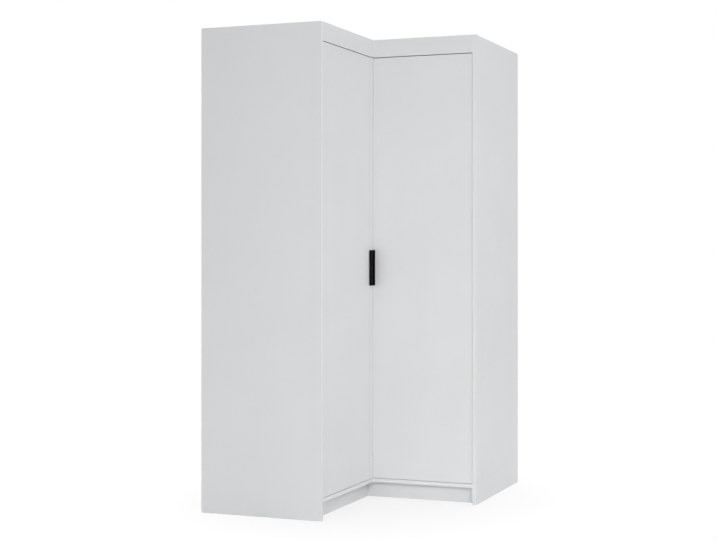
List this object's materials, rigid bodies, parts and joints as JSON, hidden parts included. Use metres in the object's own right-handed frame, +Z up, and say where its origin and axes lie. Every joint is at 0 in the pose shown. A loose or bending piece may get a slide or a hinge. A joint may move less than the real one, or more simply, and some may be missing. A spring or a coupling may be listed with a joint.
{
  "type": "corner wardrobe",
  "caption": "Tall L-shaped corner wardrobe in white faced board: hinged leaves that meet at the inner corner, a channel handle, a hat shelf, hanging rails and a recessed plinth.",
  "frame": {"origin": "on the floor, in the middle of the square that holds the L-shaped footprint", "axes": "+Z up, +Y towards the rear wall, +X along the rear wall from the room corner, so the room corner is at -X +Y and the open front corner faces +X -Y"},
  "size_m": [1.03, 1.03, 2],
  "materials": {
    "white_board": "fine matt white melamine facing on particle board",
    "back_board": "thin fibreboard, lacquered white inside and plain brown outside",
    "handle_black": "satin black powder coat",
    "nickel": "nickel-plated pressed steel",
    "chrome": "bright chrome-plated tube",
    "zinc": "dull zinc plating",
    "foot_plastic": "matt black moulded plastic",
    "catch_plastic": "white moulded plastic"
  },
  "bodies": {
    "carcass": {"left_end_panel": "white_board", "right_end_panel": "white_board", "left_back_panel": "back_board", "right_back_panel": "back_board", "bottom_panel": "white_board", "top_panel": "white_board", "hat_shelf": "white_board", "rear_corner_post": "white_board", "left_fascia": "white_board", "right_fascia": "white_board", "left_plinth": "white_board", "right_plinth": "white_board", "corner_filler": "white_board", "front_corner_post": "white_board", "rear_corner_foot": "foot_plastic", "left_wing_foot": "foot_plastic", "right_wing_foot": "foot_plastic", "left_hinge_arm_1": "nickel", "left_hinge_arm_2": "nickel", "left_hinge_arm_3": "nickel", "left_hinge_arm_4": "nickel", "left_hinge_plate_1": "nickel", "left_hinge_plate_2": "nickel", "left_hinge_plate_3": "nickel", "left_hinge_plate_4": "nickel", "right_hinge_arm_1": "nickel", "right_hinge_arm_2": "nickel", "right_hinge_arm_3": "nickel", "right_hinge_arm_4": "nickel", "right_hinge_plate_1": "nickel", "right_hinge_plate_2": "nickel", "right_hinge_plate_3": "nickel", "right_hinge_plate_4": "nickel", "left_catch": "catch_plastic", "right_catch": "catch_plastic", "left_rail": "chrome", "left_rail_socket": "chrome", "left_rail_hanger": "chrome", "right_rail": "chrome", "right_rail_socket": "chrome", "right_rail_hanger": "chrome", "left_wall_angle": "zinc", "right_wall_angle": "zinc"},
    "left_leaf": {"left_door": "white_board", "left_hinge_cup_1": "nickel", "left_hinge_cup_2": "nickel", "left_hinge_cup_3": "nickel", "left_hinge_cup_4": "nickel", "left_strike": "zinc"},
    "right_leaf": {"right_door": "white_board", "right_hinge_cup_1": "nickel", "right_hinge_cup_2": "nickel", "right_hinge_cup_3": "nickel", "right_hinge_cup_4": "nickel", "right_strike": "zinc", "handle": "handle_black", "handle_screw_1": "zinc", "handle_screw_2": "zinc"}
  },
  "joints": [
    {"name": "left_door_hinge", "type": "hinge", "parent": "carcass", "child": "left_leaf", "pos_m": [0.027, -0.47831, 1.00575], "axis": [0, 0, -1], "range_deg": [0, 95]},
    {"name": "right_door_hinge", "type": "hinge", "parent": "carcass", "child": "right_leaf", "pos_m": [0.47831, -0.027, 1.00575], "axis": [0, 0, 1], "range_deg": [0, 95]}
  ]
}
